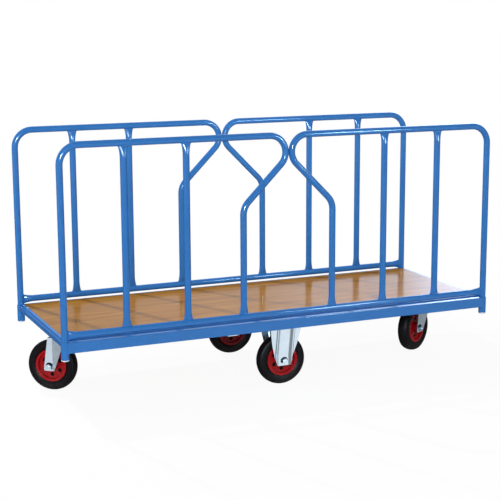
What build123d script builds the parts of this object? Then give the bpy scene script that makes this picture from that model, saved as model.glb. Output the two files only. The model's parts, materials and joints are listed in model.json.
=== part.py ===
from build123d import *
import os
from math import cos, radians, sin, sqrt

# Long load trolley: a flat deck on a diamond of four castors, with two tubular side frames
# that drop into sockets at the corners of the chassis.
# Millimetres. Origin on the floor under the middle of the deck, +X along the trolley (front),
# +Y to its left side, +Z up.

# Overall sizes
overall_height = 1000.0
post_pitch_x = 1775.0
post_pitch_y = 660.0
weld_gap = 0.1
contact_gap = 0.05
running_gap = 0.05

# Side frame tube
tube_od = 25.0
tube_wall = 2.0
corner_bend_radius = 70.0
turn_bend_radius = 64.0
knee_bend_radius = 70.0
inner_post_x = 187.0
middle_post_inset = 474.5
outer_post_inset = 235.0
hoop_gap = 1.0
rail_clearance = 11.0
flat_width = 37.0
flat_thickness = 11.0
flat_length = 40.0
flat_straight = 2.0

# Corner sockets and their end plugs
socket_clearance = 0.4
socket_wall = 2.1
socket_drop = 24.0
plug_flange = 5.0
plug_spigot = 12.0
plug_edge_radius = 3.0

# Chassis sections
beam_height = 40.0
beam_width = 30.0
beam_setback = 6.5
end_rail_size = 20.0
section_wall = 2.0
section_corner_radius = 2.5
channel_width = 160.0
channel_wall = 4.0
bearer_flange = 25.0
bearer_wall = 3.0
inner_bearer_x = 270.0
outer_bearer_inset = 357.5

# Deck board, its steel edging and its screws
deck_thickness = 18.0
deck_rise = 5.5
deck_clearance = 0.5
edging_wall = 3.0
edging_setback = 9.5
edging_radius = 1.2
screw_shank = 4.8
screw_bite = 12.0
screw_head = 9.5
screw_head_height = 3.2
screw_spacing = 210.0
pilot_clearance = 0.1

# Castor mounting plates and bolts
plate_length = 140.0
plate_width = 110.0
plate_corner_radius = 9.0
sheet = 4.0
bolt_spacing_x = 105.0
bolt_spacing_y = 75.0
bolt_diameter = 10.0
bolt_hole_clearance = 0.5
bolt_flats = 17.0
bolt_head_height = 6.4
bolt_tail = 3.0
nut_height = 8.0

# Where the castors stand
fixed_castor_y = 254.0
swivel_castor_inset = 96.0
castor_trail = 60.0
rear_heading = 40.0
front_heading = -29.5

# Wheels
wheel_radius = 100.0
tyre_width = 48.0
tyre_shoulder_width = 39.0
tyre_shoulder_drop = 5.0
rim_flange_radius = 64.0
rim_seat_radius = 57.0
rim_width = 42.0
rim_wall = 3.0
rim_lip_radius = 1.2
disc_thickness = 3.0
disc_spacing = 20.0
disc_holes = 6
disc_hole_radius = 8.0
disc_hole_pitch_radius = 37.0
hub_radius = 23.0
hub_width = 58.0
hub_side_gap = 1.0
bearing_od = 28.0
sleeve_od = 18.0
axle_diameter = 12.0
axle_flats = 19.0
axle_head_height = 7.5
axle_nut_height = 11.0
axle_tail = 3.0

# Fixed castor forks, each pressed from one sheet with a raised panel down each leg
fixed_leg_top = 133.0
fixed_leg_shoulder = 107.0
fixed_shoulder_rise = 68.0
fixed_leg_foot = 57.0
fixed_foot_drop = 19.0
fixed_pad_height = 26.0
fixed_panel_width = 68.0
fixed_panel_height = 3.0
fixed_groove_width = 6.0
fixed_groove_depth = 2.5
press_radius = 6.0

# Swivel castor forks and heads
fork_foot_drop = 18.0
fork_foot_rear = 24.5
fork_foot_front = 21.0
fork_foot_corner = 7.0
fork_rear_top = 5.0
fork_crease = 14.0
fork_waist_rise = 42.0
fork_waist_reach = 45.0
fork_shoulder_rise = 84.0
fork_shoulder_reach = 62.0
fork_front_reach = 27.0
crown_thickness = 6.0
crown_radius = 46.0
crown_wheel_gap = 8.0
race_height = 21.7
race_radius = 43.0
race_neck_radius = 34.0
race_gap = 0.3
race_bore_radius = 24.0
king_pin_diameter = 14.0
king_head_radius = 17.0
king_head_height = 6.0

# Places that follow from the sizes above
tube_radius = tube_od / 2
post_x = post_pitch_x / 2
post_y = post_pitch_y / 2
middle_post_x = post_x - middle_post_inset
outer_post_x = post_x - outer_post_inset
outer_bearer_x = post_x - outer_bearer_inset
swivel_castor_x = post_x - swivel_castor_inset
crown_underside_z = 2 * wheel_radius + crown_wheel_gap
crown_top_z = crown_underside_z + crown_thickness
plate_underside_z = crown_top_z + race_gap + race_height
castor_height = plate_underside_z + sheet
chassis_z = castor_height
chassis_top_z = chassis_z + beam_height
deck_top_z = chassis_top_z + deck_rise
deck_underside_z = deck_top_z - deck_thickness
top_rail_z = overall_height - tube_radius
bottom_rail_z = chassis_top_z + rail_clearance + tube_radius
socket_bore_radius = tube_radius + socket_clearance
socket_radius = socket_bore_radius + socket_wall
socket_bottom_z = chassis_z - socket_drop
foot_z = socket_bottom_z + plug_spigot
leg_gap = hub_width + 2 * hub_side_gap
bolt_hole_radius = bolt_diameter / 2 + bolt_hole_clearance
nut_bore_radius = bolt_diameter / 2 + contact_gap
axle_hole_radius = axle_diameter / 2 + contact_gap

UP = Vector(0, 0, 1)
ALONG = Vector(1, 0, 0)
ACROSS = Vector(0, 1, 0)
SIDES = {"right": -1, "left": 1}
ENDS = {"rear": -1, "front": 1}


def polygon(plane, points):
    """A flat face in the given plane through local (x, y) points."""
    return plane * make_face(Polyline(*points, close=True))


def rod(start, direction, radius, length):
    """A round bar that starts at a point and runs along a direction."""
    return extrude(Plane(start, z_dir=direction) * Circle(radius), length)


def tube_run(start, direction, length):
    """A straight length of the side frame tube."""
    return rod(start, direction, tube_radius, length) - rod(start, direction, tube_radius - tube_wall, length)


def hexagon(start, direction, flats, length):
    """A hexagonal bar, given across its flats."""
    return extrude(Plane(start, z_dir=direction) * RegularPolygon(flats / 2, 6, major_radius=False), length)


def compound(solids):
    """Several separate solids in one node."""
    return Compound(children=list(solids))


# Side frames


def flattened_end(root, tip, wide):
    """The end of a tube pressed flat, from the round tube at root to the axis of the tube it meets at tip."""
    direction = (tip - root).normalized()
    flat = tip - direction * (tube_radius + flat_straight)
    swell = root + (flat - root) * 0.55

    def station(point, shape):
        return Plane(point, x_dir=wide, z_dir=direction) * shape

    end = Ellipse(flat_width / 2, flat_thickness / 2)
    half_way = Ellipse((tube_radius * 2 + flat_width / 2) / 3, (tube_radius * 2 + flat_thickness / 2) / 3)
    flare = loft([station(root, Circle(tube_radius)), station(swell, half_way), station(flat, end)])
    return flare + extrude(station(flat, end), tube_radius + flat_straight)


def cope(tube, point, direction):
    """Cuts a tube's end to seat against a tube that runs through a point."""
    reach = 2 * flat_width
    return tube - rod(point - direction * reach, direction, tube_radius + weld_gap, 2 * reach)


def hoop(end, side):
    """Outer post, top rail, turn at mid-length, diagonal and inner post, bent from one tube."""
    y = side * post_y
    turn_x = (tube_od + hoop_gap) / 2 - sqrt(2) * turn_bend_radius
    knee_z = top_rail_z - (inner_post_x - turn_x)
    flat_root_z = bottom_rail_z + tube_radius + flat_length
    points = [
        (end * post_x, y, foot_z),
        (end * post_x, y, top_rail_z),
        (end * turn_x, y, top_rail_z),
        (end * inner_post_x, y, knee_z),
        (end * inner_post_x, y, flat_root_z),
    ]
    radii = [corner_bend_radius, turn_bend_radius, knee_bend_radius]
    path = FilletPolyline(*points, radius=radii)
    ring = Circle(tube_radius) - Circle(tube_radius - tube_wall)
    tube = sweep(Plane(points[0], z_dir=UP) * ring, path=path)
    tip = Vector(end * inner_post_x, y, bottom_rail_z)
    tube += flattened_end(Vector(*points[-1]), tip, ALONG)
    return cope(tube, tip, ALONG)


def bottom_rail(side):
    """The rail just above the deck, with its ends pressed flat against the outer posts."""
    y = side * post_y
    straight = post_x - tube_radius - flat_length
    rail = tube_run(Vector(-straight, y, bottom_rail_z), ALONG, 2 * straight)
    for end in ENDS.values():
        root = Vector(end * straight, y, bottom_rail_z)
        tip = Vector(end * post_x, y, bottom_rail_z)
        rail = cope(rail + flattened_end(root, tip, UP), tip, UP)
    return rail


def upright(x, side):
    """A post between the bottom rail and the top rail, pressed flat at both ends."""
    y = side * post_y
    low = Vector(x, y, bottom_rail_z)
    high = Vector(x, y, top_rail_z)
    offset = UP * (tube_radius + flat_length)
    post = tube_run(low + offset, UP, (high - low - offset * 2).length)
    post += flattened_end(low + offset, low, ALONG)
    post += flattened_end(high - offset, high, ALONG)
    return cope(cope(post, low, ALONG), high, ALONG)


def side_frame_nodes():
    nodes = {}
    for side_name, side in SIDES.items():
        nodes[f"{side_name}_bottom_rail"] = bottom_rail(side)
        for end_name, end in ENDS.items():
            nodes[f"{side_name}_{end_name}_hoop"] = hoop(end, side)
            nodes[f"{side_name}_{end_name}_middle_post"] = upright(end * middle_post_x, side)
            nodes[f"{side_name}_{end_name}_outer_post"] = upright(end * outer_post_x, side)
    return nodes


# Chassis


def hollow_section(plane, width, height, length):
    """Rectangular tube centred on a plane's origin, along its normal both ways."""
    outer = RectangleRounded(width, height, section_corner_radius)
    inner = Rectangle(width - 2 * section_wall, height - 2 * section_wall)
    return extrude(plane * (outer - inner), length / 2, both=True)


def socket_axes():
    return [Vector(end * post_x, side * post_y, socket_bottom_z) for end in ENDS.values() for side in SIDES.values()]


def clear_of_sockets(shape, gap):
    """Cuts a chassis piece back to the round outside of the corner sockets."""
    for axis in socket_axes():
        shape -= rod(axis, UP, socket_radius + gap, deck_top_z)
    return shape


def socket(end, side):
    """An open sleeve at a corner of the chassis that takes the foot of an outer post."""
    foot = Vector(end * post_x, side * post_y, socket_bottom_z)
    height = chassis_top_z - socket_bottom_z
    return rod(foot, UP, socket_radius, height) - rod(foot, UP, socket_bore_radius, height)


def socket_plug(axis):
    """A stepped cap that closes a socket from below and carries the post."""
    flange = rod(axis - UP * plug_flange, UP, socket_radius, plug_flange)
    flange = fillet(flange.edges().sort_by(Axis.Z)[0], plug_edge_radius)
    return flange + rod(axis, UP, socket_bore_radius - contact_gap, plug_spigot)


def side_beam(side):
    plane = Plane((0, side * post_y, chassis_top_z - beam_height / 2), x_dir=ACROSS, z_dir=ALONG)
    beam = hollow_section(plane, beam_width, beam_height, post_pitch_x - 2 * beam_setback)
    return clear_of_sockets(beam, weld_gap)


def end_rail(end):
    plane = Plane((end * post_x, 0, chassis_top_z - end_rail_size / 2), x_dir=ALONG, z_dir=ACROSS)
    return hollow_section(plane, end_rail_size, end_rail_size, cross_length())


def cross_length():
    """Clear length between the inner faces of the side beams, less the weld gaps."""
    return post_pitch_y - beam_width - 2 * weld_gap


def bolt_places(x, y):
    """The four bolt centres of a castor plate centred on x, y."""
    return [
        Vector(x + i * bolt_spacing_x / 2, y + j * bolt_spacing_y / 2, plate_underside_z)
        for i in (-1, 1)
        for j in (-1, 1)
    ]


def all_bolt_places():
    fixed = [place for side in SIDES.values() for place in bolt_places(0, side * fixed_castor_y)]
    swivel = [place for end in ENDS.values() for place in bolt_places(end * swivel_castor_x, 0)]
    return {"centre": fixed, "rear": swivel[:4], "front": swivel[4:]}


def castor_bearer(x, bolts):
    """A shallow channel across the chassis, open upwards, that the castors bolt to."""
    half = channel_width / 2
    depth = deck_underside_z - chassis_z
    points = [
        (-half, 0),
        (half, 0),
        (half, depth),
        (half - channel_wall, depth),
        (half - channel_wall, channel_wall),
        (channel_wall - half, channel_wall),
        (channel_wall - half, depth),
        (-half, depth),
    ]
    profile = polygon(Plane((x, 0, chassis_z), x_dir=ALONG, z_dir=-ACROSS), points)
    channel = extrude(profile, cross_length() / 2, both=True)
    for place in bolts:
        channel -= rod(place, UP, bolt_hole_radius, deck_underside_z)
    return channel


def bearer_places():
    return [end * x for end in ENDS.values() for x in (inner_bearer_x, outer_bearer_x)]


def screw_places():
    """Each deck screw's point on the underside of the board."""
    middle = bearer_flange / 2
    return [Vector(x + middle, i * screw_spacing, deck_underside_z) for x in bearer_places() for i in (-1, 0, 1)]


def deck_bearer(x):
    """An angle across the chassis under the deck, with its flat leg up against the board."""
    depth = deck_underside_z - chassis_z
    points = [
        (0, 0),
        (bearer_wall, 0),
        (bearer_wall, depth - bearer_wall),
        (bearer_flange, depth - bearer_wall),
        (bearer_flange, depth),
        (0, depth),
    ]
    profile = polygon(Plane((x, 0, chassis_z), x_dir=ALONG, z_dir=-ACROSS), points)
    angle = extrude(profile, cross_length() / 2, both=True)
    for place in screw_places():
        angle -= rod(place - UP * bearer_wall, UP, screw_shank / 2 + pilot_clearance, bearer_wall)
    return angle


def deck_screw(place):
    seat = place - UP * bearer_wall
    shank = rod(seat, UP, screw_shank / 2, bearer_wall + screw_bite)
    return shank + rod(seat - UP * screw_head_height, UP, screw_head / 2, screw_head_height)


def edging_opening():
    """Length and width of the space inside the deck's edging."""
    length = post_pitch_x - end_rail_size
    width = post_pitch_y - beam_width - 2 * deck_clearance - 2 * edging_wall
    return length, width


def deck_edging():
    """A steel rim round the board: flats inside the side beams, joined by flats on the end rails."""
    length, width = edging_opening()
    long_side = post_pitch_x + end_rail_size - 2 * edging_setback
    outer = Rectangle(long_side, width + 2 * edging_wall)
    rim = extrude(Plane((0, 0, chassis_top_z + weld_gap)) * outer, deck_rise - weld_gap)
    rim = fillet(rim.edges().group_by(Axis.Z)[-1], edging_radius)
    rim -= extrude(Plane((0, 0, chassis_top_z)) * Rectangle(length, width), deck_rise)
    flat = Rectangle(length - 2 * deck_clearance, edging_wall)
    for side in SIDES.values():
        place = Plane((0, side * (width + edging_wall) / 2, deck_underside_z + weld_gap))
        rim += extrude(place * flat, deck_thickness - deck_rise / 2)
    return rim


def deck_board():
    length, width = edging_opening()
    outline = Rectangle(length - 2 * deck_clearance, width - 2 * deck_clearance)
    board = extrude(Plane((0, 0, deck_underside_z)) * outline, deck_thickness)
    for place in screw_places():
        board -= rod(place, UP, screw_shank / 2 + pilot_clearance, screw_bite + deck_clearance)
    return board


def castor_bolt(place):
    """A bolt that goes down through the channel and the castor plate."""
    under_head = Vector(place.X, place.Y, chassis_z + channel_wall)
    shank = rod(under_head, -UP, bolt_diameter / 2, channel_wall + sheet + nut_height + bolt_tail)
    return shank + hexagon(under_head, UP, bolt_flats, bolt_head_height)


def castor_nut(place):
    nut = hexagon(place - UP * nut_height, UP, bolt_flats, nut_height)
    return nut - rod(place - UP * nut_height, UP, nut_bore_radius, nut_height)


def chassis_nodes():
    bolts = all_bolt_places()
    every_bolt = [place for places in bolts.values() for place in places]
    bearer_x = {"centre": 0, "rear": -swivel_castor_x, "front": swivel_castor_x}
    nodes = {
        "deck_board": deck_board(),
        "deck_edging": deck_edging(),
        "deck_bearers": compound(deck_bearer(x) for x in bearer_places()),
        "deck_screws": compound(deck_screw(place) for place in screw_places()),
        "socket_plugs": compound(socket_plug(axis) for axis in socket_axes()),
        "castor_bolts": compound(castor_bolt(place) for place in every_bolt),
        "castor_nuts": compound(castor_nut(place) for place in every_bolt),
    }
    for name, x in bearer_x.items():
        nodes[f"{name}_castor_bearer"] = castor_bearer(x, bolts[name])
    for side_name, side in SIDES.items():
        nodes[f"{side_name}_side_beam"] = side_beam(side)
    for end_name, end in ENDS.items():
        nodes[f"{end_name}_end_rail"] = end_rail(end)
        for side_name, side in SIDES.items():
            nodes[f"{side_name}_{end_name}_socket"] = socket(end, side)
    return nodes


# Wheels, about the Y axis with their middle at the origin


def wheel_rim():
    """Pressed rim and two discs with staggered round holes, welded to a bored hub."""
    half = rim_width / 2
    hub = revolve(
        Pos((bearing_od / 2 + hub_radius) / 2, 0) * Rectangle(hub_radius - bearing_od / 2, hub_width), Axis.Y
    )
    web_foot = hub_radius - rim_wall / 2
    web_end = rim_seat_radius - rim_wall / 2
    web_offset = (disc_spacing - disc_thickness) / 2
    web = Rectangle(web_end - web_foot, disc_thickness)
    ring_points = [
        (rim_seat_radius - rim_wall, -half),
        (rim_flange_radius, -half),
        (rim_flange_radius, rim_wall - half),
        (rim_seat_radius, rim_wall - half),
        (rim_seat_radius, half - rim_wall),
        (rim_flange_radius, half - rim_wall),
        (rim_flange_radius, half),
        (rim_seat_radius - rim_wall, half),
    ]
    ring = polygon(Plane.XY, ring_points)
    ring = fillet(ring.vertices().group_by(Axis.X)[-1], rim_lip_radius)
    rim = hub + revolve(ring, Axis.Y)
    for face, first_hole in ((-1, 0.5), (1, 0.0)):
        rim += revolve(Pos((web_foot + web_end) / 2, face * web_offset) * web, Axis.Y)
        for i in range(disc_holes):
            angle = radians(360 * (i + first_hole) / disc_holes)
            across = disc_hole_pitch_radius * cos(angle)
            height = disc_hole_pitch_radius * sin(angle)
            rim -= rod(Vector(across, 0, height), face * ACROSS, disc_hole_radius, disc_spacing)
    return rim


def tyre():
    """A rounded tyre section that seats between the rim's flanges."""
    bead = rim_width / 2 - rim_wall - contact_gap
    seat = rim_seat_radius + contact_gap
    wall_foot = rim_flange_radius + 2 * contact_gap
    shoulder = wheel_radius - tyre_shoulder_drop
    wall_middle = (wall_foot + shoulder) / 2
    half_shoulder = tyre_shoulder_width / 2
    outline = [
        Line((seat, bead), (seat, -bead)),
        Line((seat, -bead), (wall_foot, -bead)),
        ThreePointArc((wall_foot, -bead), (wall_middle, -tyre_width / 2), (shoulder, -half_shoulder)),
        ThreePointArc((shoulder, -half_shoulder), (wheel_radius, 0), (shoulder, half_shoulder)),
        ThreePointArc((shoulder, half_shoulder), (wall_middle, tyre_width / 2), (wall_foot, bead)),
        Line((wall_foot, bead), (seat, bead)),
    ]
    return revolve(make_face(outline), Axis.Y)


def tube_about_axle(outer_radius, inner_radius, length):
    start = -ACROSS * (length / 2)
    return rod(start, ACROSS, outer_radius, length) - rod(start, ACROSS, inner_radius, length)


def roller_bearing():
    return tube_about_axle(bearing_od / 2 - contact_gap, sleeve_od / 2 + running_gap, hub_width)


def axle_sleeve():
    return tube_about_axle(sleeve_od / 2, axle_hole_radius, leg_gap)


def axle_bolt(reach):
    """Bolt through both fork legs, whose outer faces are a reach away from the wheel's middle."""
    length = 2 * reach + axle_nut_height + axle_tail
    shank = rod(ACROSS * reach, -ACROSS, axle_diameter / 2, length)
    return shank + hexagon(ACROSS * reach, ACROSS, axle_flats, axle_head_height)


def axle_nut(reach):
    nut = hexagon(-ACROSS * reach, -ACROSS, axle_flats, axle_nut_height)
    return nut - rod(-ACROSS * reach, -ACROSS, axle_hole_radius, axle_nut_height)


# Castors, about their own plate centre on the floor


def mirrored(points):
    """A closed outline from its right half, listed from top to bottom."""
    return points + [(-x, y) for x, y in reversed(points)]


def castor_plate():
    plate = extrude(
        Plane((0, 0, plate_underside_z)) * RectangleRounded(plate_length, plate_width, plate_corner_radius), sheet
    )
    for place in bolt_places(0, 0):
        plate -= rod(place, UP, bolt_hole_radius, sheet)
    return plate


def fixed_leg_section(offset):
    """End view of the two sloping legs as a bent sheet, moved outwards by an offset."""
    top = plate_width / 2 + offset
    axle = leg_gap / 2 + sheet + offset
    pad_z = wheel_radius + fixed_pad_height
    foot = wheel_radius - fixed_foot_drop
    outer = [(top, castor_height), (axle, pad_z), (axle, foot)]
    inner = [(axle - sheet, foot), (axle - sheet, pad_z), (top - sheet, plate_underside_z)]
    return polygon(Plane.YZ, mirrored(outer + inner))


def fixed_leg_outline():
    """Side view of a leg, tapering to a rounded foot below the axle."""
    foot_z = wheel_radius - fixed_foot_drop
    shoulder_z = wheel_radius + fixed_shoulder_rise
    edge = [
        (fixed_leg_top / 2, castor_height),
        (fixed_leg_shoulder / 2, shoulder_z),
        (fixed_leg_foot / 2, foot_z),
    ]
    face = polygon(Plane.XY, mirrored(edge))
    face = fillet(face.vertices().group_by(Axis.Y)[0], press_radius)
    return extrude(Plane.XZ * face, plate_width, both=True)


def below_plate(x_low, x_high):
    """Everything under the plate between two distances along the trolley."""
    middle = Plane(((x_low + x_high) / 2, 0, plate_underside_z))
    return extrude(middle * Rectangle(x_high - x_low, 2 * plate_width), -plate_underside_z)


def fixed_leg_sheet(offset):
    return extrude(fixed_leg_section(offset), plate_length / 2, both=True)


def fixed_fork():
    """One sheet bent into a plate and two legs, with a raised panel and two grooves pressed in each leg."""
    outline = fixed_leg_outline()
    panel_edge = fixed_panel_width / 2
    groove_edge = panel_edge + fixed_groove_width
    legs = fixed_leg_sheet(0) & outline
    groove_cut = fixed_leg_sheet(sheet - fixed_groove_depth)
    for band in (below_plate(panel_edge, groove_edge), below_plate(-groove_edge, -panel_edge)):
        legs -= groove_cut & band
    panel = fixed_leg_sheet(fixed_panel_height) & outline & below_plate(-panel_edge, panel_edge)
    fork = castor_plate() + legs + panel
    for place in bolt_places(0, 0):
        fork -= rod(place, UP, bolt_hole_radius, sheet)
    axle = Vector(0, -plate_width, wheel_radius)
    return fork - rod(axle, ACROSS, axle_hole_radius, 2 * plate_width)


def fork_plan(half_width, widening):
    """Plan of the fork: parallel by the wheel, then widening from the crease to the crown."""
    rear = -castor_trail - 2 * fork_foot_rear
    crease = fork_crease - castor_trail
    front_half = half_width + (fork_front_reach - crease) * widening
    points = [(rear, half_width), (crease, half_width), (fork_front_reach, front_half)]
    face = make_face(Polyline(*points, *[(x, -y) for x, y in reversed(points)], close=True))
    return extrude(Plane.XY * face, crown_top_z)


def swivel_fork():
    """Crown and two legs of one pressed sheet; the legs narrow from the crown and trail back to the axle."""
    axle_x = -castor_trail
    inner = leg_gap / 2
    widening = (crown_radius - inner - sheet) / (castor_trail - fork_crease)
    outline = [
        (axle_x - fork_rear_top, crown_top_z),
        (axle_x - fork_foot_rear, wheel_radius - fork_foot_drop),
        (axle_x + fork_foot_front, wheel_radius - fork_foot_drop),
        (axle_x + fork_waist_reach, wheel_radius + fork_waist_rise),
        (axle_x + fork_shoulder_reach, wheel_radius + fork_shoulder_rise),
        (fork_front_reach, crown_underside_z),
        (fork_front_reach, crown_top_z),
    ]
    face = polygon(Plane.XY, outline)
    face = fillet(face.vertices().group_by(Axis.Y)[0], fork_foot_corner)
    side_view = extrude(Plane.XZ * face, plate_width, both=True)
    shell = fork_plan(inner + sheet, widening)
    crown = shell & side_view & rod(UP * crown_underside_z, UP, plate_length, crown_thickness)
    fork = ((shell - fork_plan(inner, widening)) & side_view) + crown
    fork += rod(UP * crown_underside_z, UP, crown_radius, crown_thickness)
    fork -= rod(UP * crown_underside_z, UP, king_pin_diameter / 2 + running_gap, crown_thickness)
    axle = Vector(axle_x, -plate_width, wheel_radius)
    return fork - rod(axle, ACROSS, axle_hole_radius, 2 * plate_width)


def swivel_plate():
    return castor_plate() - rod(UP * plate_underside_z, UP, king_pin_diameter / 2 + contact_gap, sheet)


def swivel_race():
    """Bearing housing under the plate, flared towards the fork crown."""
    foot = crown_top_z + race_gap
    shoulder = (foot + plate_underside_z) / 2
    points = [
        (race_bore_radius, foot),
        (race_radius, foot),
        (race_radius, shoulder),
        (race_neck_radius, plate_underside_z),
        (race_bore_radius, plate_underside_z),
    ]
    return revolve(polygon(Plane.XZ, points), Axis.Z)


def king_pin():
    """Riveted pivot through the plate and the fork crown, with its head under the crown."""
    head_top = crown_underside_z - race_gap
    head = rod(UP * (head_top - king_head_height), UP, king_head_radius, king_head_height)
    return head + rod(UP * head_top, UP, king_pin_diameter / 2, castor_height - head_top)


def castor_nodes():
    fixed_place = {name: Location((0, side * fixed_castor_y, 0)) for name, side in SIDES.items()}
    heading = {"rear": rear_heading, "front": front_heading}
    swivel_place = {
        name: Location((end * swivel_castor_x, 0, 0), (0, 0, -heading[name])) for name, end in ENDS.items()
    }
    plate_place = {name: Location((end * swivel_castor_x, 0, 0)) for name, end in ENDS.items()}
    fixed_axle = {name: place * Location((0, 0, wheel_radius)) for name, place in fixed_place.items()}
    swivel_axle = {
        name: place * Location((-castor_trail, 0, wheel_radius)) for name, place in swivel_place.items()
    }
    wheel = {"rim": wheel_rim(), "tyre": tyre(), "bearing": roller_bearing()}
    fixed_reach = leg_gap / 2 + sheet + fixed_panel_height
    swivel_reach = leg_gap / 2 + sheet
    nodes = {
        "fixed_axle_bolts": compound(place * axle_bolt(fixed_reach) for place in fixed_axle.values()),
        "fixed_axle_nuts": compound(place * axle_nut(fixed_reach) for place in fixed_axle.values()),
        "fixed_axle_sleeves": compound(place * axle_sleeve() for place in fixed_axle.values()),
        "swivel_plates": compound(place * swivel_plate() for place in plate_place.values()),
        "swivel_races": compound(place * swivel_race() for place in plate_place.values()),
        "king_pins": compound(place * king_pin() for place in plate_place.values()),
    }
    for name, place in fixed_place.items():
        nodes[f"{name}_fixed_fork"] = place * fixed_fork()
    for name, place in swivel_place.items():
        nodes[f"{name}_swivel_fork"] = place * swivel_fork()
        nodes[f"{name}_axle_bolt"] = swivel_axle[name] * axle_bolt(swivel_reach)
        nodes[f"{name}_axle_nut"] = swivel_axle[name] * axle_nut(swivel_reach)
        nodes[f"{name}_axle_sleeve"] = swivel_axle[name] * axle_sleeve()
    for name, place in {**fixed_axle, **swivel_axle}.items():
        for piece_name, piece in wheel.items():
            nodes[f"{name}_wheel_{piece_name}"] = place * piece
    return nodes


os.makedirs("parts", exist_ok=True)
for node_name, node_shape in {**side_frame_nodes(), **chassis_nodes(), **castor_nodes()}.items():
    export_step(node_shape, f"parts/{node_name}.step")
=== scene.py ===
import json
import math

import bpy
from mathutils import Matrix, Vector


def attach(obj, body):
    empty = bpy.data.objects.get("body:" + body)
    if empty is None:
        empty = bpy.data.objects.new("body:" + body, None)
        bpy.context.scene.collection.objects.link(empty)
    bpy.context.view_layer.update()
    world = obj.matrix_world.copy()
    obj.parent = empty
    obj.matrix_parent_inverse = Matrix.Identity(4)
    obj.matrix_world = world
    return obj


# Looks of the long load trolley: enamelled tube, varnished deck, zinc castors, rubber tyres.
# Metres, in the frame of the solids: +X to the front, +Y to the left side, +Z up, floor at zero.

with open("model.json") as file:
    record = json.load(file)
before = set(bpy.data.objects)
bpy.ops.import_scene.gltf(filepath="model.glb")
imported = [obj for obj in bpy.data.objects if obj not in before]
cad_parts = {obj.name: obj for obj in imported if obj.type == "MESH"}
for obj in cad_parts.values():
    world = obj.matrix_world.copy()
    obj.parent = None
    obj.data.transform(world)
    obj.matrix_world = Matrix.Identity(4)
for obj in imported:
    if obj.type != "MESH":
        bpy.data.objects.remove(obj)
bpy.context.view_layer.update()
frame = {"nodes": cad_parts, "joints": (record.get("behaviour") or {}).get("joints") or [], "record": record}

X_AXIS, Z_AXIS = Vector((1, 0, 0)), Vector((0, 0, 1))

# Side frames
TUBE_RADIUS = 0.0125
POST_X, POST_Y = 0.8875, 0.330
TOP_Z, RAIL_Z = 0.9875, 0.3035
UPRIGHTS = {"inner": 0.187, "middle": 0.413, "outer": 0.6525}
FLAT_HALF_WIDTH, FLAT_HALF_DEPTH = 0.0185, 0.0055

# Chassis; the half bearing says how far round a socket a side beam meets it, in degrees
CHASSIS_Z = 0.280
SOCKET_RADIUS = 0.015
BEAM_HEIGHT = 0.040
BEAM_HALF_BEARING = 64
END_RAIL_HEIGHT, END_RAIL_HALF_WIDTH = 0.020, 0.010
END_RAIL_Y = 0.315


# Node helpers


FLOAT, COLOR, VECTOR = "NodeSocketFloat", "NodeSocketColor", "NodeSocketVector"


def add(tree, kind, **settings):
    """A new node in a tree, with its attributes set."""
    node = tree.nodes.new(kind)
    for key, value in settings.items():
        setattr(node, key, value)
    return node


def join(tree, source, target):
    tree.links.new(source, target)


def give(tree, socket, value):
    """Feeds a socket from another socket, or sets its value."""
    if isinstance(value, bpy.types.NodeSocket):
        join(tree, value, socket)
    else:
        socket.default_value = value


def feed(tree, node, **values):
    """Feeds sockets by name, written with underscores for spaces."""
    for key, value in values.items():
        give(tree, node.inputs[key.replace("_", " ")], value)


def math_node(tree, operation, *values):
    """The result of an operation on sockets or numbers."""
    node = add(tree, "ShaderNodeMath", operation=operation)
    for socket, value in zip(node.inputs, values):
        give(tree, socket, value)
    return node.outputs[0]


def vector_node(tree, operation, *vectors):
    """The result of an operation on vectors, a value for a length and a vector for the rest."""
    node = add(tree, "ShaderNodeVectorMath", operation=operation)
    for socket, vector in zip(node.inputs, vectors):
        join(tree, vector, socket)
    return node.outputs["Value" if operation == "LENGTH" else "Vector"]


def object_place(tree):
    return add(tree, "ShaderNodeTexCoord").outputs["Object"]


def axes_of(tree, vector):
    """The X, Y and Z of a vector, as sockets."""
    node = add(tree, "ShaderNodeSeparateXYZ")
    join(tree, vector, node.inputs[0])
    return node.outputs


def new_group(name, inputs, outputs):
    """An empty shader group with named sockets; gives the tree and its two end nodes."""
    tree = bpy.data.node_groups.new(name, "ShaderNodeTree")
    for socket_name, kind, value in inputs:
        socket = tree.interface.new_socket(socket_name, in_out="INPUT", socket_type=kind)
        socket.default_value = value
    for socket_name, kind in outputs:
        tree.interface.new_socket(socket_name, in_out="OUTPUT", socket_type=kind)
    return tree, add(tree, "NodeGroupInput"), add(tree, "NodeGroupOutput")


def use_group(tree, group, **values):
    node = add(tree, "ShaderNodeGroup", node_tree=group)
    feed(tree, node, **values)
    return node


def noise(tree, vector, scale, detail=3.0, roughness=0.55, stretch=None):
    """Noise on object coordinates, optionally drawn out along an axis."""
    if stretch:
        mapping = add(tree, "ShaderNodeMapping")
        feed(tree, mapping, Vector=vector, Scale=stretch)
        vector = mapping.outputs["Vector"]
    node = add(tree, "ShaderNodeTexNoise")
    feed(tree, node, Vector=vector, Scale=scale, Detail=detail, Roughness=roughness)
    return node.outputs["Fac"]


def spread(tree, value, low, high):
    """Maps a noise value, mostly within 0.3 to 0.7, to a range."""
    node = add(tree, "ShaderNodeMapRange")
    feed(tree, node, Value=value, From_Min=0.3, From_Max=0.7, To_Min=low, To_Max=high)
    return node.outputs["Result"]


def smooth_step(tree, value, start, end, low=0.0, high=1.0):
    """Goes smoothly from low, where a value is at start, to high, where it is at end."""
    node = add(tree, "ShaderNodeMapRange", interpolation_type="SMOOTHSTEP")
    feed(tree, node, Value=value, From_Min=start, From_Max=end, To_Min=low, To_Max=high)
    return node.outputs["Result"]


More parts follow.
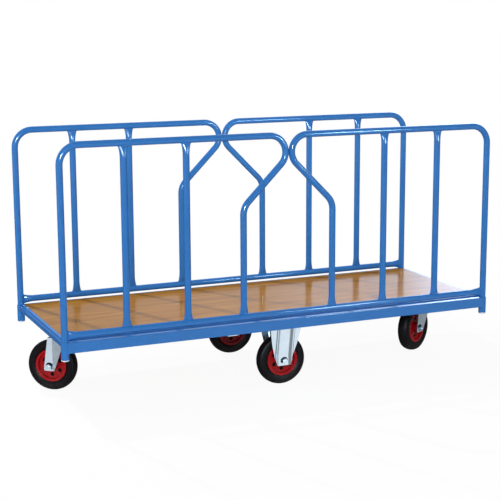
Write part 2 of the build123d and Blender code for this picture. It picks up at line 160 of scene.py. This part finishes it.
def mix(tree, factor, a, b, blend_type="MIX"):
    """Two colours mixed by a factor; a plain number stands for a grey."""
    node = add(tree, "ShaderNodeMix", data_type="RGBA", blend_type=blend_type)
    a, b = ((c, c, c, 1) if isinstance(c, float) else c for c in (a, b))
    feed(tree, node, Factor=factor, A=a, B=b)
    return node.outputs["Result"]


def tone(tree, color, factor):
    """A colour made lighter or darker by a factor that varies over the surface."""
    return mix(tree, 1.0, color, factor, "MULTIPLY")


# Shared surface effects


GREY = (0.5, 0.5, 0.5, 1)
PALE_DUST = (0.42, 0.40, 0.37, 1)
# Near-black colour of the shade painted round the axle ends.
AXLE_SHADE_COLOR = (0.006, 0.007, 0.010, 1)


def coating_group():
    """Sprayed or plated coat: cloudy tone, uneven gloss and a fine skin."""
    tree, given, put = new_group(
        "coat_skin",
        [
            ("Color", COLOR, GREY),
            ("Cloud", FLOAT, 0.05),
            ("Gloss", FLOAT, 0.2),
            ("Gloss Spread", FLOAT, 0.05),
            ("Skin Scale", FLOAT, 600.0),
        ],
        [("Color", COLOR), ("Roughness", FLOAT), ("Height", FLOAT)],
    )
    asked = given.outputs
    place = object_place(tree)
    cloud = spread(tree, noise(tree, place, scale=9.0, detail=4.0), low=-1.0, high=1.0)
    fine = spread(tree, noise(tree, place, scale=60.0, detail=2.0), low=-1.0, high=1.0)
    shade = math_node(tree, "MULTIPLY_ADD", cloud, asked["Cloud"], 1.0)
    rough = math_node(tree, "MULTIPLY_ADD", fine, asked["Gloss Spread"], asked["Gloss"])
    skin = noise(tree, place, scale=asked["Skin Scale"], detail=1.0)
    feed(tree, put, Color=tone(tree, asked["Color"], shade), Roughness=rough, Height=skin)
    return tree


def dust_group():
    """Dust and scuffs that gather low down on the trolley and thin out upwards."""
    tree, given, put = new_group(
        "floor_dust",
        [
            ("Color", COLOR, GREY),
            ("Dust", COLOR, PALE_DUST),
            ("Reach", FLOAT, 0.12),
            ("Amount", FLOAT, 0.3),
        ],
        [("Color", COLOR)],
    )
    asked = given.outputs
    place = object_place(tree)
    height = math_node(tree, "DIVIDE", axes_of(tree, place)["Z"], asked["Reach"])
    low = math_node(tree, "SUBTRACT", 1.0, height)
    low.node.use_clamp = True
    patch = spread(tree, noise(tree, place, scale=38.0, detail=5.0, roughness=0.65), low=0.0, high=1.0)
    mask = math_node(tree, "MULTIPLY", math_node(tree, "MULTIPLY", low, patch), asked["Amount"])
    feed(tree, put, Color=mix(tree, mask, asked["Color"], asked["Dust"]))
    return tree


def press_group():
    """Rounded sides of the panel pressed into a fixed castor's legs, as a height along the trolley."""
    tree, given, put = new_group(
        "press_line",
        [
            ("Rear Foot", FLOAT, -0.031),
            ("Rear Crest", FLOAT, -0.0245),
            ("Front Crest", FLOAT, 0.0165),
            ("Front Foot", FLOAT, 0.0335),
        ],
        [("Height", FLOAT)],
    )
    asked = given.outputs
    along = axes_of(tree, object_place(tree))["X"]
    rear = smooth_step(tree, along, asked["Rear Foot"], asked["Rear Crest"])
    front = smooth_step(tree, along, asked["Front Foot"], asked["Front Crest"])
    feed(tree, put, Height=math_node(tree, "MULTIPLY", rear, front))
    return tree


def crown_group():
    """Top of a side beam falling slightly to its outer side, as a height across the trolley."""
    tree, given, put = new_group("beam_crown", [("Fall", FLOAT, 0.1)], [("Height", FLOAT)])
    outwards = math_node(tree, "ABSOLUTE", axes_of(tree, object_place(tree))["Y"])
    drop = math_node(tree, "MULTIPLY", outwards, given.outputs["Fall"])
    feed(tree, put, Height=math_node(tree, "SUBTRACT", 0.0, drop))
    return tree


def axle_shade_group():
    """Painted shade round an axle's ends, broken into patches and heaviest above them, darkening the metal
    where shade falls round the bolt heads.
    """
    tree, given, put = new_group(
        "axle_painted_shade",
        [
            ("Color", COLOR, GREY),
            ("Painted Shade", COLOR, AXLE_SHADE_COLOR),
            ("Centre", VECTOR, (0, 0, 0)),
            ("Axis", VECTOR, (0, 1, 0)),
            ("Reach", FLOAT, 0.0175),
            ("Full", FLOAT, 0.0125),
        ],
        [("Color", COLOR)],
    )
    asked = given.outputs
    place = object_place(tree)
    offset = vector_node(tree, "SUBTRACT", place, asked["Centre"])
    away = vector_node(tree, "LENGTH", vector_node(tree, "CROSS_PRODUCT", offset, asked["Axis"]))
    near = smooth_step(tree, away, asked["Reach"], asked["Full"])
    patch = spread(tree, noise(tree, place, scale=110.0, detail=1.0), low=0.0, high=1.6)
    above = math_node(tree, "DIVIDE", axes_of(tree, offset)["Z"], asked["Reach"])
    mask = math_node(tree, "MULTIPLY", near, math_node(tree, "ADD", patch, above))
    mask.node.use_clamp = True
    feed(tree, put, Color=mix(tree, mask, asked["Color"], asked["Painted Shade"]))
    return tree


COAT_SKIN = coating_group()
FLOOR_DUST = dust_group()
PRESS_LINE = press_group()
BEAM_CROWN = crown_group()
AXLE_SHADE_GROUP = axle_shade_group()


def new_material(name):
    """A material with a Principled shader on its output; gives the material, tree and shader."""
    material = bpy.data.materials.new(name)
    material.use_nodes = True
    tree = material.node_tree
    return material, tree, tree.nodes["Principled BSDF"]


def blend_shaders(tree, factor, under, over):
    """Puts a mix of two shaders on a material's output."""
    blend = add(tree, "ShaderNodeMixShader")
    feed(tree, blend, Fac=factor)
    join(tree, under.outputs[0], blend.inputs[1])
    join(tree, over.outputs[0], blend.inputs[2])
    join(tree, blend.outputs[0], tree.nodes["Material Output"].inputs["Surface"])


def bump(tree, shader, height, distance, strength, form=None):
    """Fine relief on a shader's normal, over a larger form if one is given as (height, distance)."""
    node = add(tree, "ShaderNodeBump")
    feed(tree, node, Strength=strength, Distance=distance, Height=height)
    feed(tree, shader, Normal=node.outputs["Normal"])
    if form:
        form_height, form_distance = form
        base = add(tree, "ShaderNodeBump")
        feed(tree, base, Distance=form_distance, Height=form_height)
        feed(tree, node, Normal=base.outputs["Normal"])


# Finishes


BLUE = (0.026, 0.162, 0.476)
# The same blue paint made lighter: painted light on the deck edging, which the bottom rail shades.
BLUE_LIGHTENED_FOR_SHADE = (0.045, 0.215, 0.60)
RED = (0.31, 0.003, 0.006)
ZINC = (0.72, 0.84, 0.95)
STEEL = (0.38, 0.38, 0.39)
PLUG_GREY = (0.72, 0.74, 0.76)
TYRE_BLACK = (0.0052, 0.0036, 0.0050)
TYRE_DUST = (0.06, 0.058, 0.055, 1)
DARK_GRAIN, PALE_GRAIN = (0.337, 0.142, 0.011, 1), (0.493, 0.229, 0.021, 1)
DARK_GRAIN_AT, PALE_GRAIN_AT = 0.38, 0.62
BAND_SHARE, FIBRE_SHARE = 0.55, 0.45
VARNISH_IOR, VARNISH_LEVEL = 1.5, 0.75
MIRRORED_LEVEL = 0.4
PANEL_SIDE = 0.006


def coat(tree, color, **values):
    """Colour, roughness and height of a coat, as sockets."""
    return use_group(tree, COAT_SKIN, Color=(*color, 1), **values).outputs


def dusted(tree, color, **values):
    """A colour with the floor's dust on it."""
    return use_group(tree, FLOOR_DUST, Color=color, **values).outputs["Color"]


def enamel(name, color, gloss, specular, cloud, dust, crowned=False):
    """Stoved gloss enamel on tube or pressed steel, dimmer in mirrors; crowned for the side beams."""
    material, tree, shader = new_material(name)
    skin = coat(tree, color, Cloud=cloud, Gloss=gloss, Gloss_Spread=0.04, Skin_Scale=420.0)
    mirrored = add(tree, "ShaderNodeLightPath").outputs["Is Glossy Ray"]
    level = math_node(tree, "MULTIPLY_ADD", mirrored, MIRRORED_LEVEL - 1.0, 1.0)
    shown = tone(tree, dusted(tree, skin["Color"], Amount=dust), level)
    feed(tree, shader, Base_Color=shown, Roughness=skin["Roughness"], Specular_IOR_Level=specular)
    form = (use_group(tree, BEAM_CROWN).outputs["Height"], 1.0) if crowned else None
    bump(tree, shader, skin["Height"], distance=0.00012, strength=0.4, form=form)
    return material


def zinc(name, color, gloss, dust, pressed=0.0, axle=None):
    """Bright zinc plate; pressed is the height of a panel's sides, axle the (centre, axis) it carries, round
    whose ends shade is painted.
    """
    material, tree, shader = new_material(name)
    skin = coat(tree, color, Cloud=0.06, Gloss=gloss, Gloss_Spread=0.05, Skin_Scale=90.0)
    shown = dusted(tree, skin["Color"], Amount=dust)
    # Painted shade: the zinc is darkened round the axle's ends in place of the shade round the bolt heads.
    if axle:
        centre, axis = axle
        shown = use_group(tree, AXLE_SHADE_GROUP, Color=shown, Centre=centre, Axis=axis).outputs["Color"]
    feed(tree, shader, Base_Color=shown, Roughness=skin["Roughness"], Metallic=1.0)
    form = (use_group(tree, PRESS_LINE).outputs["Height"], pressed) if pressed else None
    bump(tree, shader, skin["Height"], distance=0.0002, strength=0.12, form=form)
    return material


def rubber():
    """Black tyre rubber, greyed by the floor low down."""
    material, tree, shader = new_material("tyre_rubber")
    skin = coat(tree, TYRE_BLACK, Cloud=0.15, Gloss=0.48, Gloss_Spread=0.08, Skin_Scale=900.0)
    shown = dusted(tree, skin["Color"], Dust=TYRE_DUST, Reach=0.05, Amount=0.4)
    feed(tree, shader, Base_Color=shown, Roughness=skin["Roughness"], Specular_IOR_Level=0.10)
    bump(tree, shader, skin["Height"], distance=0.0003, strength=0.35)
    return material


def deck_wood():
    """Varnished board with fine grain along the trolley."""
    material, tree, shader = new_material("deck_varnish")
    place = object_place(tree)
    band = noise(tree, place, scale=5.0, detail=5.0, roughness=0.6, stretch=(0.5, 7.0, 3.0))
    fibre = noise(tree, place, scale=30.0, detail=3.0, roughness=0.6, stretch=(0.35, 14.0, 6.0))
    pore = noise(tree, place, scale=120.0, detail=2.0, roughness=0.5, stretch=(0.12, 6.0, 3.0))
    ramp = add(tree, "ShaderNodeValToRGB")
    dark, pale = ramp.color_ramp.elements
    dark.position, dark.color = DARK_GRAIN_AT, DARK_GRAIN
    pale.position, pale.color = PALE_GRAIN_AT, PALE_GRAIN
    broad = math_node(tree, "MULTIPLY", band, BAND_SHARE)
    feed(tree, ramp, Fac=math_node(tree, "MULTIPLY_ADD", fibre, FIBRE_SHARE, broad))
    shown = tone(tree, ramp.outputs["Color"], spread(tree, pore, low=0.84, high=1.1))
    feed(tree, shader, Base_Color=shown, Roughness=0.6, Specular_IOR_Level=0.0)
    bump(tree, shader, math_node(tree, "ADD", fibre, pore), distance=0.0001, strength=0.2)
    varnish = add(tree, "ShaderNodeBsdfGlossy")
    feed(tree, varnish, Roughness=spread(tree, fibre, low=0.12, high=0.19))
    fresnel = add(tree, "ShaderNodeFresnel")
    feed(tree, fresnel, IOR=VARNISH_IOR)
    blend_shaders(tree, math_node(tree, "MULTIPLY", fresnel.outputs[0], VARNISH_LEVEL), shader, varnish)
    return material


def moulded(name, color):
    """Plain moulded plastic with a faint grain."""
    material, tree, shader = new_material(name)
    skin = coat(tree, color, Cloud=0.06, Gloss=0.42, Gloss_Spread=0.06, Skin_Scale=1100.0)
    feed(tree, shader, Base_Color=skin["Color"], Roughness=skin["Roughness"])
    bump(tree, shader, skin["Height"], distance=0.0002, strength=0.4)
    return material


BLUE_COAT = {"gloss": 0.13, "cloud": 0.04, "dust": 0.08}
RED_COAT = {"gloss": 0.22, "cloud": 0.07, "dust": 0.10}
BRIGHT_PLATE = {"gloss": 0.22, "dust": 0.12}
OILED_STEEL = {"gloss": 0.34, "dust": 0.4}
FINISH = {
    "blue_enamel": enamel("blue_enamel_gloss", BLUE, specular=0.32, **BLUE_COAT),
    "red_enamel": enamel("red_enamel_gloss", RED, specular=0.09, **RED_COAT),
    "zinc_plate": zinc("zinc_plate_bright", ZINC, **BRIGHT_PLATE),
    "bare_steel": zinc("steel_oiled", STEEL, **OILED_STEEL),
    "black_tyre": rubber(),
    "varnished_wood": deck_wood(),
    "pale_plastic": moulded("plug_plastic", PLUG_GREY),
}
SHAPED = {
    "side_beam": enamel("blue_enamel_beam", BLUE, specular=0.30, crowned=True, **BLUE_COAT),
    # The edging gets a lighter copy of the blue enamel, as painted light against the shade under the bottom
    # rail.
    "edging": enamel("blue_enamel_edging_lightened", BLUE_LIGHTENED_FOR_SHADE, specular=0.32, **BLUE_COAT),
}

AXLES = {}
for joint in frame["joints"]:
    if joint["name"].endswith("_wheel_spin"):
        where = joint["child"].removesuffix("_wheel")
        AXLES[where] = Vector(joint["pos_m"]), Vector(joint["axis"]).normalized()

for part in frame["record"]["subparts"]:
    node = frame["nodes"][part["node"]]
    node.data.materials.clear()
    where, kind = part["node"].split("_", 1)
    if kind.endswith("_fork"):
        side = PANEL_SIDE if kind == "fixed_fork" else 0.0
        name = f"zinc_plate_{where}_fork"
        finish = zinc(name, ZINC, pressed=side, axle=AXLES[where], **BRIGHT_PLATE)
    else:
        finish = SHAPED.get(kind, FINISH[part["material_slot"]])
    node.data.materials.append(finish)


# Weld beads


BEAD_SHAPE = {"Bead Radius": 0.0017, "Step": 0.0011, "Ripple Pitch": 0.0034, "Ripple Depth": 0.22}
BEAD_SIDES = 8
SEAT_STEPS, SEAT_LIFT = 48, 0.0004
ARC_STEPS, ARC_LIFT = 12, 0.0003


def bead_tree():
    """Turns the edges of a mesh into rippled beads of weld."""
    tree = bpy.data.node_groups.new("weld_bead", "GeometryNodeTree")
    face = tree.interface
    face.new_socket("Geometry", in_out="INPUT", socket_type="NodeSocketGeometry")
    for name, value in BEAD_SHAPE.items():
        face.new_socket(name, in_out="INPUT", socket_type=FLOAT).default_value = value
    face.new_socket("Finish", in_out="INPUT", socket_type="NodeSocketMaterial")
    face.new_socket("Geometry", in_out="OUTPUT", socket_type="NodeSocketGeometry")
    given, put = add(tree, "NodeGroupInput"), add(tree, "NodeGroupOutput")
    asked = given.outputs
    path = add(tree, "GeometryNodeMeshToCurve")
    feed(tree, path, Mesh=asked["Geometry"])
    steps = add(tree, "GeometryNodeResampleCurve", mode="LENGTH")
    feed(tree, steps, Curve=path.outputs["Curve"], Length=asked["Step"])
    along = add(tree, "GeometryNodeSplineParameter").outputs["Length"]
    ripples = math_node(tree, "DIVIDE", along, asked["Ripple Pitch"])
    wave = math_node(tree, "SINE", math_node(tree, "MULTIPLY", ripples, math.tau))
    swell = math_node(tree, "MULTIPLY_ADD", wave, asked["Ripple Depth"], 1.0)
    radius = math_node(tree, "MULTIPLY", swell, asked["Bead Radius"])
    ring = add(tree, "GeometryNodeCurvePrimitiveCircle")
    feed(tree, ring, Resolution=BEAD_SIDES, Radius=1.0)
    body = add(tree, "GeometryNodeCurveToMesh")
    feed(tree, body, Curve=steps.outputs["Curve"], Profile_Curve=ring.outputs["Curve"], Scale=radius)
    feed(tree, body, Fill_Caps=True)
    smooth = add(tree, "GeometryNodeSetShadeSmooth")
    feed(tree, smooth, Geometry=body.outputs["Mesh"])
    real = add(tree, "GeometryNodeRealizeInstances")
    feed(tree, real, Geometry=smooth.outputs["Geometry"])
    coated = add(tree, "GeometryNodeSetMaterial")
    feed(tree, coated, Geometry=real.outputs["Geometry"], Material=asked["Finish"])
    feed(tree, put, Geometry=coated.outputs["Geometry"])
    return tree


def placed(name, mesh):
    """A new object in the scene, with its place in its mesh."""
    piece = bpy.data.objects.new(name, mesh)
    bpy.context.scene.collection.objects.link(piece)
    return piece


def realised(name, base, tree, **values):
    """Runs a geometry tree on a mesh and keeps the result as a plain mesh object."""
    source = placed(name + "_path", base)
    modifier = source.modifiers.new("make", "NODES")
    modifier.node_group = tree
    ids = {s.name: s.identifier for s in tree.interface.items_tree if s.in_out == "INPUT"}
    for key, value in values.items():
        modifier[ids[key.replace("_", " ")]] = value
    depsgraph = bpy.context.evaluated_depsgraph_get()
    mesh = bpy.data.meshes.new_from_object(source.evaluated_get(depsgraph), depsgraph=depsgraph)
    bpy.data.objects.remove(source)
    mesh.name = name
    return placed(name, mesh)


def path_mesh(loops):
    """A mesh of edges only, from closed runs of points."""
    vertices, edges = [], []
    for points in loops:
        first, count = len(vertices), len(points)
        vertices += points
        edges += [(first + i, first + (i + 1) % count) for i in range(count)]
    mesh = bpy.data.meshes.new("path")
    mesh.from_pydata(vertices, edges, [])
    return mesh


def seat_loop(centre, axis, direction):
    """The line where a flattened tube end meets a round tube along axis, from the side of direction."""
    across = axis.cross(direction)
    points = []
    for i in range(SEAT_STEPS):
        angle = math.tau * i / SEAT_STEPS
        u, v = FLAT_HALF_WIDTH * math.cos(angle), FLAT_HALF_DEPTH * math.sin(angle)
        rise = math.sqrt((TUBE_RADIUS + SEAT_LIFT) ** 2 - v * v)
        points.append(centre + axis * u + across * v + direction * rise)
    return points


def frame_welds(side):
    """Beads at the flattened tube ends of a side frame."""
    loops = []
    y = side * POST_Y
    for end in (-1, 1):
        for name, x in UPRIGHTS.items():
            loops.append(seat_loop(Vector((end * x, y, RAIL_Z)), X_AXIS, Z_AXIS))
            if name != "inner":
                loops.append(seat_loop(Vector((end * x, y, TOP_Z)), X_AXIS, -Z_AXIS))
        loops.append(seat_loop(Vector((end * POST_X, y, RAIL_Z)), Z_AXIS, X_AXIS * -end))
    return loops


def corner_arc(centre, start, stop, z):
    """A level arc round a corner socket, in degrees from +X."""
    radius = SOCKET_RADIUS + ARC_LIFT
    points = []
    for i in range(ARC_STEPS + 1):
        angle = math.radians(start + (stop - start) * i / ARC_STEPS)
        points.append(centre + Vector((radius * math.cos(angle), radius * math.sin(angle), z)))
    return points


def socket_welds():
    """Beads where the side beams and end rails meet the corner sockets."""
    loops = []
    for end in (-1, 1):
        for side in (-1, 1):
            centre = Vector((end * POST_X, side * POST_Y, 0))
            bearing = 180 if end > 0 else 0
            first, last = bearing - BEAM_HALF_BEARING, bearing + BEAM_HALF_BEARING
            arc_low = corner_arc(centre, first, last, CHASSIS_Z - BEAM_HEIGHT)
            arc_high = corner_arc(centre, last, first, CHASSIS_Z)
            loops.append(arc_low + arc_high)
            low, high = CHASSIS_Z - END_RAIL_HEIGHT, CHASSIS_Z
            near, far = POST_X - END_RAIL_HALF_WIDTH, POST_X + END_RAIL_HALF_WIDTH
            corners = ((near, low), (far, low), (far, high), (near, high))
            loops.append([Vector((end * x, side * END_RAIL_Y, z)) for x, z in corners])
    return loops


BEAD = bead_tree()
for side_name, side in (("right", -1), ("left", 1)):
    beads = realised(
        f"{side_name}_frame_welds", path_mesh(frame_welds(side)), BEAD, Finish=FINISH["blue_enamel"]
    )
    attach(beads, f"{side_name}_side_frame")
beads = realised("chassis_welds", path_mesh(socket_welds()), BEAD, Finish=FINISH["blue_enamel"])
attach(beads, "chassis")


# Black sheets in the wheel rims that paint the shade behind their holes, and the rings on the tyres


# Points of a tyre's sidewall, as (radius, half width)
WALL_FOOT, WALL_MIDDLE, WALL_SHOULDER = (0.0641, 0.01795), (0.07955, 0.024), (0.095, 0.0195)
RING_RADII = (0.0705, 0.0885)
RING_STEPS = 96
RING_SHAPE = {"Bead_Radius": 0.0009, "Step": 0.004, "Ripple_Depth": 0.0}
# Size of the black sheet that paints the shade inside each rim.
SHADE_SHEET_INNER, SHADE_SHEET_OUTER, SHADE_SHEET_HALF_WIDTH = 0.0236, 0.0534, 0.0006
SHADE_SHEET_STEPS = 72


def wall_face(radius):
    """Half width of a tyre at a radius on its sidewall, on the circle through three of its points."""
    (ax, ay), (bx, by), (cx, cy) = WALL_FOOT, WALL_MIDDLE, WALL_SHOULDER
    d = 2 * (ax * (by - cy) + bx * (cy - ay) + cx * (ay - by))
    a2, b2, c2 = ax * ax + ay * ay, bx * bx + by * by, cx * cx + cy * cy
    ux = (a2 * (by - cy) + b2 * (cy - ay) + c2 * (ay - by)) / d
    uy = (a2 * (cx - bx) + b2 * (ax - cx) + c2 * (bx - ax)) / d
    reach = (ax - ux) ** 2 + (ay - uy) ** 2
    return uy + math.sqrt(reach - (radius - ux) ** 2)


def arms_about(axis, count):
    """Unit vectors square to an axis, evenly spaced round it."""
    first = axis.cross(Z_AXIS).normalized()
    return [Matrix.Rotation(math.tau * i / count, 3, axis) @ first for i in range(count)]


def tyre_rings(centre, axis):
    """Circles on both sidewalls of a tyre, where its moulded rings stand out."""
    loops = []
    for radius in RING_RADII:
        for face in (-1, 1):
            middle = centre + axis * (face * wall_face(radius))
            loops.append([middle + arm * radius for arm in arms_about(axis, RING_STEPS)])
    return loops


def rim_shade_sheet_mesh(name, centre, axis):
    """A thin ring between the two discs of a rim, square to the axle; made black, it paints the shade seen
    through the rim's holes.
    """
    section = [(SHADE_SHEET_INNER, -SHADE_SHEET_HALF_WIDTH), (SHADE_SHEET_OUTER, -SHADE_SHEET_HALF_WIDTH)]
    section += [(SHADE_SHEET_OUTER, SHADE_SHEET_HALF_WIDTH), (SHADE_SHEET_INNER, SHADE_SHEET_HALF_WIDTH)]
    sides = len(section)
    vertices, faces = [], []
    for i, arm in enumerate(arms_about(axis, SHADE_SHEET_STEPS)):
        vertices += [centre + arm * radius + axis * shift for radius, shift in section]
        a, b = sides * i, sides * ((i + 1) % SHADE_SHEET_STEPS)
        faces += [(a + k, b + k, b + (k + 1) % sides, a + (k + 1) % sides) for k in range(sides)]
    mesh = bpy.data.meshes.new(name)
    mesh.from_pydata(vertices, [], faces)
    return mesh


for where, (centre, axis) in AXLES.items():
    wheel = where + "_wheel"
    # A black sheet inside the rim paints the shade seen through its holes.
    mesh = rim_shade_sheet_mesh(wheel + "_shade_sheet", centre, axis)
    mesh.materials.append(FINISH["black_tyre"])
    shade_sheet = placed(wheel + "_shade_sheet", mesh)
    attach(shade_sheet, wheel)
    circles = path_mesh(tyre_rings(centre, axis))
    rings = realised(wheel + "_tyre_rings", circles, BEAD, Finish=FINISH["black_tyre"], **RING_SHAPE)
    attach(rings, wheel)


# Floor, background and light


WHITE = (1.0, 1.0, 1.0, 1)
FLOOR_SIZE = 60.0
NEAR_REACH, FAR_REACH = 1.0, 2.4
NEAR_WHITE, FAR_WHITE = 0.93, 1.0

# The room by direction: grey levels as (place along X, level), bands along an axis as (start, end).
FAR_WALL = ((0.2, 0.09), (0.4, 0.175), (0.44, 0.29), (0.47, 0.32), (0.5, 0.38), (0.528, 1.0))
FAR_WALL_COLOR = (3.3, 4.0, 5.3, 1)
FAR_WALL_Y = (0.3, 0.7)
FAR_WALL_TOP_Z = (0.28, 0.40)
FAR_WALL_TOP_GAIN = 1.3
FAR_FOOT_Y = (0.25, 0.5)
FAR_FOOT_LEVEL = 0.07
UPPER_LEVEL = 0.35
CARD = (
    (-0.9, 0.85), (-0.72, 0.6), (-0.6, 0.14), (-0.4, 0.16), (0.1, 0.45),
    (0.33, 0.95), (0.5, 0.95), (0.7, 0.45), (0.84, 0.3),
)
CARD_Y = (-0.2, -0.45)
ASIDE = ((-0.97, 0.38), (-0.5, 0.4), (0.5, 0.4), (0.9, 0.3))
LOW_WINDOW_X, LOW_WINDOW_Z = (-0.6, -0.78), (-0.17, -0.10)
LOW_WINDOW_LEVEL = 1.6
HORIZON_Z = (0.06, 0.14)
LIGHT_LEVEL, LIGHT_RISE = 0.30, 0.06

CAMERA_PLACE = (-2.03977, -4.61937, 1.43205)
CAMERA_YAW, CAMERA_PITCH, CAMERA_ROLL = 23.6533, 10.5491, -0.2782
FOCAL_PIXELS, PICTURE_PIXELS = 1263.349, 500.0
SENSOR_WIDTH = 36.0
CLIP_END = 200.0


def studio_floor():
    """White floor, shadowed a little near the trolley and left out of mirrors."""
    bpy.ops.mesh.primitive_plane_add(size=FLOOR_SIZE, location=(0, 0, 0))
    floor = bpy.context.object
    floor.name = "studio_floor"
    floor.visible_glossy = False
    material, tree, shader = new_material("floor_white")
    feed(tree, shader, Base_Color=WHITE, Roughness=0.9, Specular_IOR_Level=0.0)
    glow = add(tree, "ShaderNodeEmission")
    feed(tree, glow, Color=WHITE, Strength=1.0)
    seen = add(tree, "ShaderNodeLightPath").outputs["Is Camera Ray"]
    away = vector_node(tree, "LENGTH", object_place(tree))
    white = smooth_step(tree, away, NEAR_REACH, FAR_REACH, low=NEAR_WHITE, high=FAR_WHITE)
    blend_shaders(tree, math_node(tree, "MULTIPLY", seen, white), shader, glow)
    floor.data.materials.append(material)


def level_ramp(tree, value, stops):
    """Grey levels at places along a value from -1 to 1."""
    place = math_node(tree, "MULTIPLY_ADD", value, 0.5, 0.5)
    node = add(tree, "ShaderNodeValToRGB")
    elements = node.color_ramp.elements
    for i, (position, level) in enumerate(stops):
        stop = elements[i] if i < 2 else elements.new(1.0)
        stop.position = (position + 1) / 2
        stop.color = (level, level, level, 1)
    feed(tree, node, Fac=place)
    return node.outputs["Color"]


def studio_world():
    """White room: white to the camera, even as light; mirrors show a far wall and a reflector card."""
    world = bpy.data.worlds.new("studio")
    world.use_nodes = True
    bpy.context.scene.world = world
    tree = world.node_tree
    path = add(tree, "ShaderNodeLightPath").outputs
    axes = axes_of(tree, add(tree, "ShaderNodeTexCoord").outputs["Generated"])
    x, y, z = (axes[axis] for axis in "XYZ")

    wall = mix(tree, 1.0, level_ramp(tree, x, FAR_WALL), FAR_WALL_COLOR, "MULTIPLY")
    top = smooth_step(tree, z, *FAR_WALL_TOP_Z)
    wall = tone(tree, wall, math_node(tree, "MULTIPLY_ADD", top, FAR_WALL_TOP_GAIN, 1.0))
    upper = mix(tree, smooth_step(tree, y, *FAR_WALL_Y), UPPER_LEVEL, wall)

    aside, card = level_ramp(tree, x, ASIDE), level_ramp(tree, x, CARD)
    lower = mix(tree, smooth_step(tree, y, *CARD_Y), aside, card)
    window = (smooth_step(tree, x, *LOW_WINDOW_X), smooth_step(tree, z, *LOW_WINDOW_Z))
    lower = mix(tree, math_node(tree, "MULTIPLY", *window), lower, LOW_WINDOW_LEVEL)
    lower = mix(tree, smooth_step(tree, y, *FAR_FOOT_Y), lower, FAR_FOOT_LEVEL)

    mirrored = mix(tree, smooth_step(tree, z, *HORIZON_Z), lower, upper)
    light = math_node(tree, "MULTIPLY_ADD", z, LIGHT_RISE, LIGHT_LEVEL)
    level = mix(tree, path["Is Glossy Ray"], light, mirrored)
    seen = math_node(tree, "MAXIMUM", path["Is Camera Ray"], path["Is Transmission Ray"])
    feed(tree, tree.nodes["Background"], Color=mix(tree, seen, level, 1.0), Strength=1.0)


def area_light(
    name, place, target, size, power, lights=True, mirrors=True, height=None, tint=(1, 1, 1), skips=None
):
    """A round lamp, or a panel if it has a height, that may leave out one piece given as skips.

    It lights surfaces, is mirrored in them, or both.
    """
    lamp = bpy.data.lights.new(name, "AREA")
    lamp.shape = "RECTANGLE" if height else "DISK"
    lamp.size = size
    lamp.size_y = height or size
    lamp.energy = power
    lamp.color = tint
    holder = bpy.data.objects.new(name, lamp)
    holder.location = place
    holder.rotation_euler = (Vector(target) - Vector(place)).to_track_quat("-Z", "Y").to_euler()
    holder.visible_camera = False
    holder.visible_diffuse = lights
    holder.visible_glossy = mirrors
    bpy.context.scene.collection.objects.link(holder)
    if skips:
        unlit = bpy.data.collections.new(name + "_skips")
        unlit.objects.link(skips)
        unlit.collection_objects[0].light_linking.link_state = "EXCLUDE"
        holder.light_linking.receiver_collection = unlit


def photo_camera():
    """The camera at the photograph's viewpoint."""
    yaw, pitch, roll = (math.radians(angle) for angle in (CAMERA_YAW, CAMERA_PITCH, CAMERA_ROLL))
    ahead = Vector((math.sin(yaw) * math.cos(pitch), math.cos(yaw) * math.cos(pitch), -math.sin(pitch)))
    level = Vector((math.cos(yaw), -math.sin(yaw), 0))
    upright = level.cross(ahead)
    right = level * math.cos(roll) + upright * math.sin(roll)
    up = upright * math.cos(roll) - level * math.sin(roll)
    lens = bpy.data.cameras.new("photo_camera")
    lens.sensor_width = SENSOR_WIDTH
    lens.lens = FOCAL_PIXELS * SENSOR_WIDTH / PICTURE_PIXELS
    lens.clip_end = CLIP_END
    camera = bpy.data.objects.new("photo_camera", lens)
    turn = Matrix((right, up, -ahead)).transposed().to_4x4()
    camera.matrix_world = Matrix.Translation(CAMERA_PLACE) @ turn
    bpy.context.scene.collection.objects.link(camera)
    bpy.context.scene.camera = camera


DECK = frame["nodes"]["deck_board"]
studio_floor()
studio_world()
area_light("back_key", (-1.75, 3.1, 3.5), (0, 0, 0.4), size=0.12, power=120, mirrors=False)
area_light("left_top", (-4.0, 0.5, 3.0), (-0.4, 0, 0.3), size=1.2, power=22, mirrors=False)
area_light("front_key", (-6.2, -14.3, 7.0), (0, 0, 0.5), size=4.0, power=1470, mirrors=False)
area_light("deck_top", (-1.5, 0.5, 3.2), (-0.3, 0, 0.3), size=1.2, power=4, mirrors=False)
area_light(
    "inner_fill", (0.08, -0.29, 0.62), (0.08, 0.33, 0.62), size=1.6, height=0.5, power=1.75, mirrors=False
)
area_light(
    "softbox_right", (1.12, -1.9, 1.15), (0.2, -0.1, 0.7), size=0.5, power=46,
    lights=False, tint=(0.55, 0.84, 1.0), skips=DECK,
)
area_light(
    "softbox_camera", (-2.1, -4.95, 1.75), (0, 0, 0.7), size=0.8, power=480,
    lights=False, tint=(0.7, 0.88, 1.0), skips=DECK,
)
photo_camera()
bpy.context.scene.view_settings.view_transform = "Standard"
